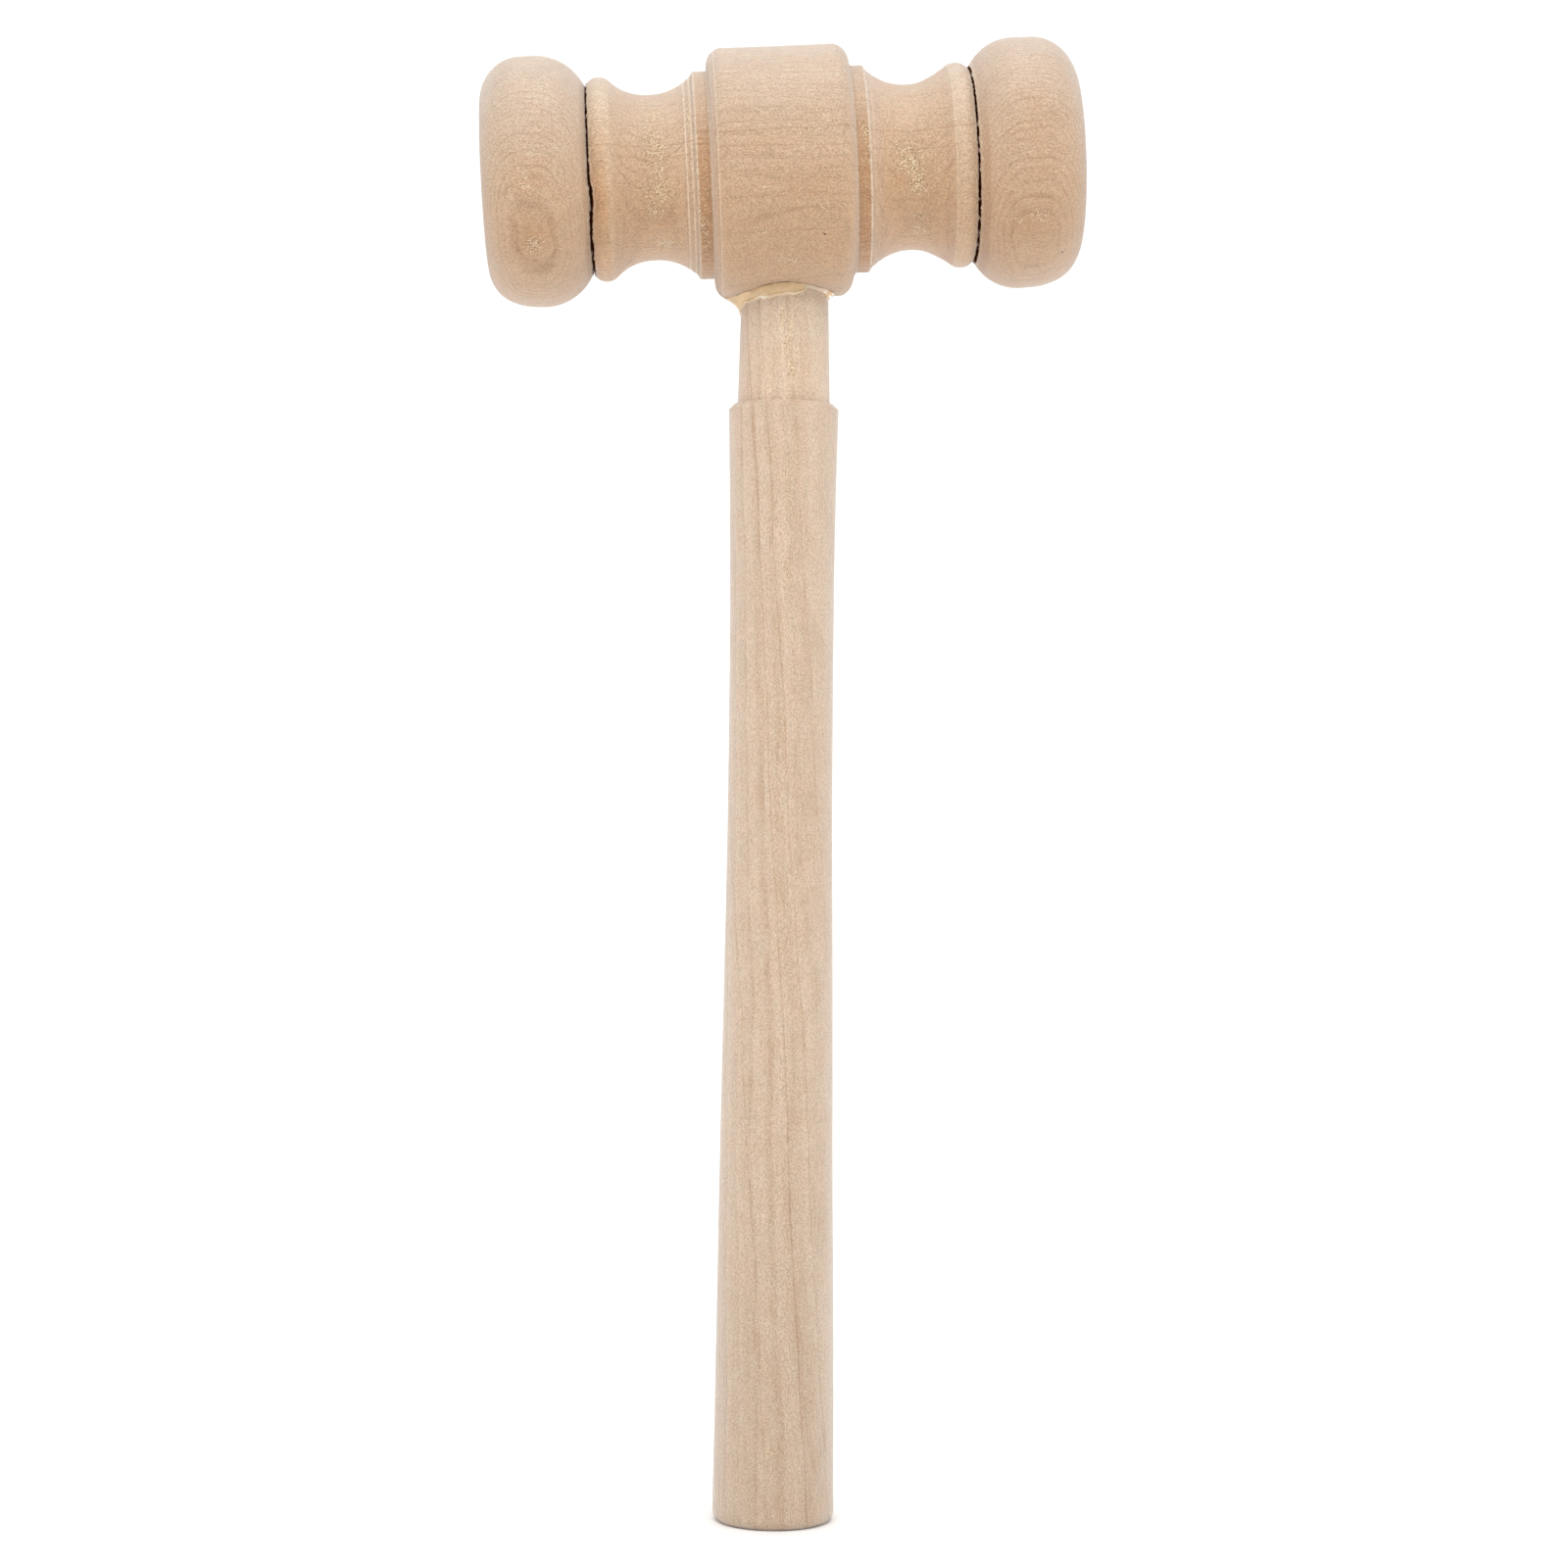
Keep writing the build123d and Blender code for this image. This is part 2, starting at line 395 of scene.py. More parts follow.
def head_body_surface(grid):
    """Turned lines, creases and torn grain on the head body."""
    x = grid.along
    away = abs(x)
    outer = grid.radius > 12
    wobble = grid.solid(9, 9, 1) * 0.05 + grid.solid(2.5, 2.5, 2) * 0.015
    tool = np.sin(x * 5.3) * 0.006 + np.sin(x * 8.9 + 1) * 0.004
    uneven = bump_at(x, 26.5, 2.2) * 0.26 - bump_at(x, -26.5, 3.0) * 0.15
    grid.radius += (wobble + tool + uneven) * outer
    rim = ramp(x, 8.5, 11.4) * ramp(x, 12.4, 11.95) * ramp(grid.radius, 17.6, 18.6)
    grid.along -= rim * bump_at(grid.front, -88, 38)[None] * 0.42
    for centre, width, height in (
        (15.1, 0.16, -0.10), (15.45, 0.2, 0.06), (16.05, 0.14, -0.07), (16.35, 0.2, 0.04),
        (10.75, 0.22, -0.045), (9.6, 0.5, 0.03),
    ):
        grid.radius += bump_at(away, centre, width) * height * outer
    on_collar = ramp(away, 12.1, 12.5) * ramp(away, 14.5, 14.2) * outer
    grid.radius -= on_collar * (0.05 + 0.06 * ramp(grid.solid(4, 0.45, 5), 0, 0.8))
    grid.torn += on_collar * ramp(grid.front, 40, -20) * 0.16
    # The collar is ruddier on its underside: ruddier wood, and painted shade in the recess.
    grid.ruddy += on_collar * ramp(grid.front, 60, -10) * 0.45
    grid.tears((
        (-21.3, 36, 1.0, 1.2, 0.6), (-21.5, 20, 1.1, 1.6, 0.65), (-21.5, 9, 1.8, 1.8, 1.05),
        (-20.6, -6, 1.3, 1.0, 0.5), (-20.8, -19, 2.4, 2.0, 0.75), (-21.6, -34, 1.8, 1.0, 0.6),
        (-20.0, -62, 1.6, 1.0, 0.85), (-15.6, 28, 0.4, 3.0, 0.5), (-13.7, -40, 0.7, 4.0, 0.45),
        (19.4, 36, 0.7, 0.7, 0.5), (20.4, 4, 2.2, 1.8, 0.5), (21.4, -8, 2.2, 2.0, 0.75),
        (22.3, -22, 1.3, 1.5, 0.95), (22.6, -46, 1.0, 0.8, 0.7), (22.6, -59, 1.3, 1.0, 0.95),
        (13.6, 12, 0.6, 1.2, 0.8), (13.9, 1, 0.4, 1.0, 0.6), (-3.7, 19, 0.5, 0.3, 0.8),
        (-3.3, -16, 0.6, 0.3, 0.9), (6.2, 17, 2.2, 0.8, 0.34), (3.4, 8, 2.0, 0.8, 0.3),
        (6.4, -27, 1.6, 0.8, 0.3), (-4.5, -36, 2.5, 0.9, 0.25), (0.0, -52, 4.0, 1.4, 0.25),
        (-21.5, 150, 1.6, 2.4, 0.9), (21.5, 128, 1.5, 2.2, 0.9), (21.0, -140, 1.2, 2.0, 0.8),
        (-21.0, -128, 1.4, 1.8, 0.8), (2.0, 168, 4.5, 2.5, 0.4),
    ))
    grid.flush((
        (-30.6, -22, 1.2, 4.5, 0.9), (-20, -30, 5, 3.5, 0.4), (19, -22, 2.5, 4.5, 0.45),
        (-4, 5, 6, 3, 0.35), (5, -14, 5, 2.5, 0.3), (0, 120, 8, 6, 0.4),
    ))
    grid.dots(((6.1, -39, 0.16, 0.8), (14.9, -50, 0.12, 0.5), (26.9, -52, 0.2, 0.55)))
    for seam in (left_seam, right_seam):
        part = Part(grid, grid.along * seam["side"] > 20)
        seam_edge(part, -1, **seam)
        part.put_back()


def knob_surface(seam, tears, flushes, dots):
    """What works over one knob: its own patches, and the seam beside it."""
    side = seam["side"]

    def work(grid):
        outer = grid.radius > 6
        wobble = grid.solid(7, 8, 11 + side) * 0.06 + grid.solid(2.2, 2.2, 13 + side) * 0.015
        grid.radius += wobble * outer * ramp(grid.radius, 6, 14)
        worn_low = bump_at(grid.front, -90, 48)[None] * bump_at(abs(grid.along), 45.2, 2.8)
        grid.radius -= worn_low * 0.26 * outer
        length = abs(grid.along).max()
        face = ramp(abs(grid.along), length - 0.02, length)
        rings = 0.02 * np.sin(grid.radius * 4.2) * ramp(grid.radius, 1, 3)
        grid.along -= side * face * (0.02 + rings)
        grid.tears(tears)
        grid.flush(flushes)
        grid.dots(dots)
        seam_edge(grid, 1, **seam)
    return work


left_knob_surface = knob_surface(
    left_seam,
    tears=((-41.7, -39, 1.6, 1.8, 0.62), (-42.5, -12, 1.2, 2.0, 0.3), (-41, 140, 1.6, 3.0, 0.5)),
    flushes=((-42.0, -35, 3.0, 3.6, 1.0), (-41.5, -8, 3.5, 3.0, 0.45), (-42, 130, 4, 6, 0.5)),
    dots=((-42.5, -39, 0.2, 0.5), (-38.4, -66, 0.35, 0.3)),
)
right_knob_surface = knob_surface(
    right_seam,
    tears=((41.8, -34, 1.6, 1.0, 0.6), (38.6, -37, 0.8, 0.8, 0.45), (42, 150, 1.6, 3.0, 0.5)),
    flushes=((41.5, 8, 3.5, 4.5, 0.5), (40.5, -38, 3.5, 3.0, 0.45), (42, 150, 4, 5, 0.5)),
    dots=((46.1, -58, 0.17, 0.9), (44.6, -64, 0.35, 0.35)),
)


def handle_surface(grid):
    """Slight waves of hand sanding, torn marks on the neck, worn edges."""
    outer = grid.radius > 3
    shown = ramp(grid.along, tenon_start_z + 2, tenon_start_z + 1)
    wobble = grid.solid(30, 9, 41) * 0.05 + grid.solid(9, 3, 42) * 0.02
    grid.radius += wobble * outer * shown
    rim = bump_at(grid.along, shoulder_z - shoulder_bevel, 0.7) * (grid.radius > grip_r[-1] - 0.6)
    grid.radius -= rim * np.clip(grid.solid(1.2, 0.9, 43), 0, 1) * 0.14
    grid.tears((
        (203.6, -5, 1.3, 0.5, 0.9), (202.0, 7, 1.0, 0.4, 0.7), (194.9, 8, 1.2, 0.5, 0.8),
        (198.8, 2, 5.0, 1.1, 0.36), (176, 2, 6, 2.0, 0.25), (160, 6, 5, 1.2, 0.25),
        (13.6, -5, 0.25, 1.0, 0.8), (204, 160, 1.4, 1.2, 0.8), (110, 170, 9, 1.5, 0.3),
    ))
    grid.dots(((1.3, -33, 0.16, 0.9), (11.9, -14, 0.3, 0.25)))


# -------------------------------------------------------------- materials
class Tree:
    """Short calls that build one material's nodes."""

    def __init__(self, name):
        self.material = bpy.data.materials.new(name)
        self.material.use_nodes = True
        self.tree = self.material.node_tree
        self.tree.nodes.clear()

    def node(self, kind, inputs=(), **settings):
        made = self.tree.nodes.new(kind)
        for key, value in settings.items():
            setattr(made, key, value)
        for key, value in dict(inputs).items():
            if isinstance(value, bpy.types.NodeSocket):
                self.tree.links.new(value, made.inputs[key])
            elif value is not None:
                made.inputs[key].default_value = value
        return made

    def math(self, operation, a, b=None, c=None, clamp=False):
        made = self.node("ShaderNodeMath", {0: a, 1: b, 2: c}, operation=operation, use_clamp=clamp)
        return made.outputs[0]

    def vector(self, operation, a, b=None, c=None):
        made = self.node("ShaderNodeVectorMath", {0: a, 1: b, 2: c}, operation=operation)
        return made.outputs["Value" if operation in ("LENGTH", "DOT_PRODUCT") else "Vector"]

    def noise(self, where, detail=2.0, roughness=0.5, output="Fac"):
        made = self.node("ShaderNodeTexNoise", {
            "Vector": where, "Scale": 1.0, "Detail": detail, "Roughness": roughness,
        })
        return made.outputs[output]

    def ramp(self, value, low, high):
        """0 at low, 1 at high, smooth between. low may be the larger."""
        turned_round = low > high
        made = self.node("ShaderNodeMapRange", {
            "Value": value,
            "From Min": min(low, high), "From Max": max(low, high),
            "To Min": 1.0 if turned_round else 0.0, "To Max": 0.0 if turned_round else 1.0,
        }, interpolation_type="SMOOTHSTEP")
        return made.outputs["Result"]

    def span(self, value, low, high, soft):
        """1 between low and high, with soft edges."""
        return self.math("MULTIPLY", self.ramp(value, low - soft, low + soft),
                         self.ramp(value, high + soft, high - soft))

    def mix(self, factor, a, b, blend="MIX"):
        made = self.node("ShaderNodeMix", {0: factor, 6: a, 7: b}, data_type="RGBA", blend_type=blend)
        return made.outputs[2]

    def times(self, *values):
        product = values[0]
        for value in values[1:]:
            product = self.math("MULTIPLY", product, value)
        return product

    def tint(self, colour, factor, by):
        """colour multiplied by another, as far as factor goes."""
        return self.mix(factor, colour, by, "MULTIPLY")

    def vary(self, colour, value, amount, warmth):
        """colour made darker where value is low and lighter where it's high."""
        low = rgb(*(1 - amount * part for part in warmth))
        high = rgb(*(1 + amount * part for part in warmth))
        return self.tint(colour, 1.0, self.mix(value, low, high))

    def contrast(self, where, detail):
        """Noise that fills the range from 0 to 1."""
        return self.ramp(self.noise(where, detail, 0.6), 0.3, 0.7)

    def split(self, vector):
        """A vector's three parts."""
        return self.node("ShaderNodeSeparateXYZ", {0: vector}).outputs

    def local(self, place):
        """Object space turned into a piece's own mm, with the grain along X."""
        object_space = self.node("ShaderNodeTexCoord").outputs["Object"]
        return self.node("ShaderNodeMapping", {
            "Vector": object_space,
            "Location": place.to_translation(),
            "Rotation": place.to_euler(),
            "Scale": (MM, MM, MM),
        }, vector_type="TEXTURE").outputs[0]

    def stretched(self, where, along, over):
        """where divided by a cell's length along and over the grain."""
        return self.vector("MULTIPLY", where, (1 / along, 1 / over, 1 / over))

    def value_at(self, name):
        return self.node("ShaderNodeAttribute", attribute_name=name).outputs["Fac"]

    def finish(self, shader):
        output = self.node("ShaderNodeOutputMaterial")
        self.tree.links.new(shader.outputs[0], output.inputs["Surface"])
        return self.material


def rgb(red, green, blue):
    return (red, green, blue, 1.0)


def growth_rings(t, here, drift, pith, lean, ring, crisp, wander):
    """The place bent as the grain is, the late wood, and how strong each year is."""
    tilted = t.node("ShaderNodeMapping", {
        "Vector": here, "Rotation": [math.radians(a) for a in lean],
    }).outputs[0]
    bent = t.vector("MULTIPLY_ADD", drift, (0, wander, wander), tilted)
    from_pith = t.vector("MULTIPLY", t.vector("SUBTRACT", bent, (0, *pith)), (0, 1, 1))
    depth = t.vector("LENGTH", from_pith)
    years = t.node("ShaderNodeCombineXYZ", {0: t.math("MULTIPLY", depth, 0.5)}).outputs[0]
    uneven = t.math("MULTIPLY", t.noise(years, 1), ring * 1.6)
    phase = t.math("FRACT", t.math("DIVIDE", t.math("ADD", depth, uneven), ring))
    late = t.math("MULTIPLY", t.ramp(phase, crisp, 0.9), t.ramp(phase, 1.0, 0.93))
    strong = t.ramp(t.noise(t.vector("MULTIPLY", years, (1.9, 1, 1)), 1), 0.38, 0.68)
    return bent, late, strong


def dark_veins(t, colour, here, drift, faint, veins):
    """Thin dark years that cut right through the piece."""
    along = t.split(here)
    sway = t.split(drift)[1]
    for axis, start, slope, strength in veins:
        off = t.math("MULTIPLY_ADD", along[0], -slope, along[axis])
        off = t.math("MULTIPLY_ADD", sway, 1.4, off)
        thread = t.span(off, start - 0.11, start + 0.11, 0.13)
        amount = t.times(thread, t.math("MULTIPLY_ADD", faint, 0.5, 0.5), strength)
        colour = t.tint(colour, amount, rgb(0.74, 0.60, 0.46))
    return colour


def tone_light_and_shade_bands(t, colour, here, bands):
    """Streaky bands round the piece, weaker towards the top: the wood's own tone, painted shade and
    painted light.
    """
    along = t.split(here)
    up = t.ramp(along[2], -3, 14)
    streaks = t.ramp(t.noise(t.stretched(here, 0.5, 0.35), 2, 0.7), 0.3, 0.66)
    streaks = t.math("MULTIPLY_ADD", streaks, 0.5, 0.62)
    for low, high, soft, least, tint in bands:
        band = t.span(along[0], low, high, soft)
        amount = t.times(band, streaks, t.math("MULTIPLY_ADD", up, least - 1, 1.0))
        colour = t.tint(colour, t.math("MINIMUM", amount, 1.0), rgb(*tint))
    return colour


def painted_edge_lines(t, colour, here, lines):
    """Thin broken lines round the piece, on the tool's grooves and ridges: painted highlights and painted
    shade.
    """
    along = t.split(here)[0]
    broken = t.ramp(t.noise(t.stretched(here, 2, 0.45), 1, 0.6), 0.34, 0.6)
    for x, half_width, tint, strength in lines:
        across_line = t.span(along, x - half_width, x + half_width, 0.09)
        amount = t.times(across_line, t.math("MULTIPLY_ADD", broken, 0.6, 0.4), strength)
        colour = t.mix(amount, colour, rgb(*tint))
    return colour


def end_grain(t, colour, here, late, place):
    """Darker open pores and years where the surface cuts across the grain."""
    normal = t.node("ShaderNodeNewGeometry").outputs["Normal"]
    grain_way = place.to_3x3() @ Vector((1, 0, 0))
    end = t.ramp(t.math("ABSOLUTE", t.vector("DOT_PRODUCT", normal, grain_way)), 0.8, 0.99)
    pores = t.ramp(t.noise(t.stretched(here, 3, 0.3), 1, 0.5), 0.60, 0.72)
    tone = t.mix(t.times(pores, 0.45), rgb(0.95, 0.90, 0.85), rgb(0.66, 0.54, 0.44))
    tone = t.tint(tone, t.times(late, 0.7), rgb(0.80, 0.68, 0.56))
    return t.mix(end, colour, t.tint(colour, 1.0, tone))


def torn_grain(t, colour, here):
    """Pale lifted fibres, partly painted highlights, and dark pits painted as shade where the grain is
    torn, with both.
    """
    torn = t.value_at("torn")
    plucked = t.ramp(torn, 0.02, 0.3)
    lifted = t.noise(t.stretched(here, 0.26, 0.22), 0)
    pulled = t.noise(t.stretched(t.vector("ADD", here, (9, 4, 7)), 0.28, 0.22), 0)
    pale = t.times(t.ramp(t.math("MULTIPLY_ADD", torn, 0.2, lifted), 0.67, 0.74), plucked, 0.9)
    pit_shade = t.times(t.ramp(t.math("MULTIPLY_ADD", torn, 0.17, pulled), 0.72, 0.79), plucked, 0.8)
    scuffed = t.math("MULTIPLY", torn, 0.6, clamp=True)
    colour = t.tint(colour, scuffed, rgb(0.98, 0.92, 0.80))
    # Painted shade in the torn pits, then pale fibres that also stand in for their highlights.
    colour = t.mix(pit_shade, colour, rgb(0.20, 0.10, 0.035))
    colour = t.mix(pale, colour, rgb(0.86, 0.69, 0.43))
    return colour, pale, pit_shade


def frayed_burns_and_shade(t, colour, here):
    """Pale frayed fibres, and burns and painted shade over them, with how dark these are."""
    dark = t.value_at("dark")
    spots = t.math("MULTIPLY_ADD", t.noise(t.stretched(here, 0.25, 0.3), 1), 1.2, -0.6)
    spotted = t.ramp(t.math("ADD", dark, spots), 0.3, 0.6)
    dark = t.math("MAXIMUM", t.math("MULTIPLY", dark, 0.6), spotted)
    fray = t.math("MULTIPLY", t.value_at("mark"), 0.7, clamp=True)
    colour = t.mix(fray, colour, rgb(0.72, 0.60, 0.43))
    # Near-black where the seams hold painted shade, partly burn, and at dark pits.
    burn_and_shade = t.math("MULTIPLY", dark, 1.0, clamp=True)
    return t.mix(burn_and_shade, colour, rgb(0.052, 0.010, 0.001)), dark


def wood(name, place, pith, lean, ring, light, deep, bands=(), lines=(), veins=(),
         fine_grain=1.0, mottle=1.0, crisp=0.35, wander=3.0,
         lower=(1.035, 0.91, 0.75), upper=(1.0, 1.03, 1.08)):
    """Bare turned wood: growth rings round a pith, fibres, torn grain, lines.

    pith is the rings' centre across the piece in mm, lean tilts it in degrees
    and ring is a year's width in mm.  light and deep are early and late wood.
    wander is how far the rings stray in mm, mottle scales the soft unevenness,
    and crisp is where in a year the late wood starts.  The last two tints are
    painted shade, darker and warmer, on the low side and painted light, paler,
    on the high side.

    A band is (low x, high x, soft edge, least strength at the top, colour); some
    bands are the wood's own tone, others painted shade and painted light.  A line
    is (x, half width, colour, strength): pale ones are painted highlights on
    ridges and edges, dark ones painted shade in grooves.  A vein is a thin dark
    year that cuts right through: (1 or 2 for y or z, its place in mm, slope,
    strength).
    """
    t = Tree(name)
    here = t.local(place)
    slow = t.noise(t.stretched(here, 26, 9), 2, 0.5, "Color")
    drift = t.vector("SUBTRACT", slow, (0.5, 0.5, 0.5))
    bent, late, strong = growth_rings(t, here, drift, pith, lean, ring, crisp, wander)
    faint = t.ramp(t.noise(t.stretched(here, 7, 2.5), 2), 0.35, 0.7)
    shown = [t.math("MULTIPLY_ADD", part, 0.6, 0.4) for part in (faint, strong)]
    colour = t.mix(t.times(late, *shown), rgb(*light), rgb(*deep))

    fibre = t.contrast(t.stretched(bent, 4.2, 0.5), 3)
    hair = t.contrast(t.stretched(bent, 1.2, 0.36), 2)
    speck = t.contrast(t.stretched(here, 0.34, 0.25), 1)
    blotch = t.contrast(t.stretched(here, 4.5, 2.6), 2)
    hue = t.contrast(t.stretched(t.vector("ADD", here, (31, 17, 5)), 3.6, 1.9), 1)
    neutral, warm = (0.7, 0.85, 1.0), (0.45, 0.68, 1.0)
    hues = t.mix(hue, rgb(1.01, 0.985, 0.98), rgb(0.99, 1.01, 1.015))
    colour = t.tint(colour, 1.0, hues)
    colour = t.vary(colour, speck, 0.27 * fine_grain, neutral)
    colour = t.vary(colour, hair, 0.055 * mottle, warm)
    colour = t.vary(colour, fibre, 0.045 * mottle, warm)
    colour = t.vary(colour, blotch, 0.045 * mottle, warm)

    # Painted shade, darker and warmer, on the low side, and painted light, paler, on the high side.
    sides = t.mix(t.ramp(t.split(here)[2], -17, 17), rgb(*lower), rgb(*upper))
    colour = t.tint(colour, 1.0, sides)
    colour = t.tint(colour, t.value_at("ruddy"), rgb(0.94, 0.82, 0.68))
    colour = dark_veins(t, colour, here, drift, faint, veins)
    colour = tone_light_and_shade_bands(t, colour, here, bands)
    colour = painted_edge_lines(t, colour, here, lines)
    colour = end_grain(t, colour, here, late, place)
    colour, pale, pit_shade = torn_grain(t, colour, here)
    colour, dark = frayed_burns_and_shade(t, colour, here)

    height = t.math("ADD", t.times(fibre, 0.5), t.times(hair, 0.45))
    height = t.math("ADD", height, t.times(speck, 0.5))
    height = t.math("ADD", height, t.math("SUBTRACT", t.times(pale, 1.2), t.times(pit_shade, 1.2)))
    bump = t.node("ShaderNodeBump", {
        "Height": height, "Strength": 0.6, "Distance": 0.0002,
    }).outputs[0]
    rough = t.math("MAXIMUM", t.math("MULTIPLY_ADD", fibre, 0.16, 0.44), dark)
    return t.finish(t.node("ShaderNodeBsdfPrincipled", {
        "Base Color": colour, "Roughness": rough, "Normal": bump,
        "Specular IOR Level": 0.85, "Sheen Weight": 0.65, "Sheen Roughness": 0.45,
    }))


def charred_seam_shade(name):
    """Painted shade for the seam gaps, on wood partly blackened by friction: no gloss and no sheen."""
    t = Tree(name)
    ash = t.noise(t.stretched(t.local(head_place), 0.4, 0.3), 2, 0.6)
    colour = t.mix(t.ramp(ash, 0.4, 0.7), rgb(0.045, 0.008, 0.001), rgb(0.080, 0.024, 0.007))
    return t.finish(t.node("ShaderNodeBsdfPrincipled", {
        "Base Color": colour, "Roughness": 1.0, "Specular IOR Level": 0.0,
    }))


def char_painted_shade(piece, material):
    """Gives another material to the faces of a piece that are mostly dark: painted seam shade, and dark
    pits.
    """
    mesh = piece.data
    mesh.materials.append(material)
    dark = np.zeros(len(mesh.vertices), np.float32)
    mesh.attributes["dark"].data.foreach_get("value", dark)
    burn_and_shade = [dark[list(face.vertices)].mean() > 0.5 for face in mesh.polygons]
    mesh.polygons.foreach_set("material_index", burn_and_shade)


def dried_glue(name, place, colour, dirt, gloss=1.0):
    """Half-clear dried wood glue with sawdust caught in it, dirt setting how much."""
    t = Tree(name)
    here = t.local(place)
    cloud = t.noise(t.stretched(here, 1.6, 1.6), 3, 0.55)
    dust = t.ramp(t.noise(t.stretched(here, 0.35, 0.35), 2, 0.6), 0.6, 0.75)
    deeper = rgb(*(part * 0.86 for part in colour))
    body = t.mix(t.ramp(cloud, 0.35, 0.7), rgb(*colour), deeper)
    body = t.mix(t.times(dust, dirt), body, rgb(0.24, 0.13, 0.06))
    grain = t.noise(t.stretched(here, 1.2, 0.3), 2, 0.6)
    body = t.tint(body, grain, rgb(0.96, 0.94, 0.90))
    body = t.mix(t.value_at("thin"), body, rgb(0.66, 0.50, 0.36))
    # Near-white painted highlights, and dark painted shade where the glue meets the barrel.
    for layer, strength, tint in (
        ("skin", 0.9, (0.97, 0.94, 0.88)), ("dark", 0.85, (0.13, 0.05, 0.018)),
    ):
        amount = t.math("MULTIPLY", t.value_at(layer), strength, clamp=True)
        body = t.mix(amount, body, rgb(*tint))
    bump = t.node("ShaderNodeBump", {
        "Height": cloud, "Strength": 0.4, "Distance": 0.00025,
    }).outputs[0]
    return t.finish(t.node("ShaderNodeBsdfPrincipled", {
        "Base Color": body, "Roughness": t.math("MULTIPLY_ADD", cloud, 0.2, 0.22), "Normal": bump,
        "Subsurface Weight": 0.2, "Subsurface Radius": (1.0, 0.55, 0.2), "Subsurface Scale": 0.0008,
        "Coat Weight": 0.35 * gloss, "Coat Roughness": 0.12, "Specular IOR Level": 0.5 * gloss,
    }))


# ------------------------------------------------------- glue at the neck
def barrel_under(x, y):
    """Height in mm of the barrel's underside over a point, on the leaning head."""
    across_axis = x - head_centre.x / MM
    drop = np.sqrt(np.clip(barrel_r**2 - y**2, 0, None))
    rise = (across_axis * math.sin(head_lean) - drop) / math.cos(head_lean)
    return head_centre.z / MM + rise


def round_curve(angles, stations):
    """Smooth closed curve through (angle, value) stations, in degrees."""
    at = np.array([s[0] for s in stations], float)
    value = np.array([s[1] for s in stations], float)
    at = np.concatenate((at - 360, at, at + 360))
    value = np.tile(value, 3)
    index = np.clip(np.searchsorted(at, angles, side="right") - 1, 0, len(at) - 2)
    t = (angles - at[index]) / (at[index + 1] - at[index])
    t = t * t * (3 - 2 * t)
    return value[index] * (1 - t) + value[index + 1] * t


def neck_radius(z):
    """Radius of the handle's neck at a height in mm."""
    return np.interp(z, (shoulder_z, tenon_start_z), (neck_low_r, neck_high_r))


def squeezed_out(front, ring):
    """How far the glue hangs down, spreads out and bulges round the neck, in mm.

    The stations go by angle from the -Y side, positive to the +X side.
    """
    hang = round_curve(front, (
        (-180, 1.6), (-125, 2.2), (-98, 3.0), (-84, 2.9), (-68, 1.8), (-52, 1.75), (-36, 2.0),
        (-28, 2.4), (-18, 2.2), (-4, 2.25), (10, 2.1), (17, 1.8), (32, 0.5), (55, 0.5), (76, 1.2),
        (95, 0.9), (130, 0.8),
    ))
    spread = round_curve(front, (
        (-180, 1.0), (-120, 2.1), (-92, 2.7), (-68, 1.5), (-45, 0.35), (-10, 0.22), (15, 0.12),
        (44, 0.15), (58, 0.6), (76, 1.0), (96, 0.5), (140, 0.5),
    ))
    bulge = round_curve(front, (
        (-180, 0.1), (-100, 0.15), (-60, 0.3), (-30, 0.32), (0, 0.24), (20, 0.08),
        (55, 0.3), (74, 0.7), (92, 0.25), (130, 0.1),
    ))
    hang = hang * (1 + 0.10 * noise3(ring / 0.9, 61) + 0.06 * noise3(ring / 0.35, 62))
    spread = spread * (1 + 0.22 * noise3(ring / 1.3, 63) + 0.12 * noise3(ring / 0.4, 64))
    return hang, spread, bulge


def neck_glue_sections(ways, ring, hang, spread, bulge, free_steps):
    """(radius, height) all round: up the tenon, down the socket, out under the
    barrel, and the free surface back down to the neck, with where that starts.
    """
    film_top = tenon_top_z - tenon_bevel
    at_neck = barrel_under(*(ways * tenon_r).T)
    low_z = at_neck - hang
    sections = []
    for k in range(4):
        z = low_z + (film_top - low_z) * (k / 3) ** 0.5
        sections.append((np.where(z < tenon_start_z, neck_radius(z), tenon_r) - 0.02, z))
    in_socket = np.full(len(ways), socket_r - 0.01)
    sections.append((in_socket, np.full(len(ways), film_top)))
    sections.append((in_socket, at_neck + 0.3))
    outer = tenon_r + 0.12 + spread
    for k in range(1, 5):
        radius = socket_r + (outer - socket_r) * k / 4
        sections.append((radius, barrel_under(*(ways * radius[:, None]).T) + 0.04))
    contact = len(sections) - 1
    start_z = barrel_under(*(ways * outer[:, None]).T)
    for k in range(1, free_steps):
        s = k / free_steps
        hollow = (1 - s) ** 1.9
        lump = 1 + 0.3 * noise3(ring / 0.8 + (0, 0, s * 2), 65)
        z = start_z + (low_z - start_z) * s ** 1.25
        radius = neck_radius(z) + spread * hollow + bulge * math.sin(math.pi * s) ** 0.8 * lump
        lip = bump_at(s, 0.86, 0.07) * 0.16 * (1 + noise3(ring / 1.1, 67))
        radius = radius + 0.05 * (1 - s) + lip * ramp(hang, 0.9, 1.6)
        sections.append((radius, z))
    return sections, contact


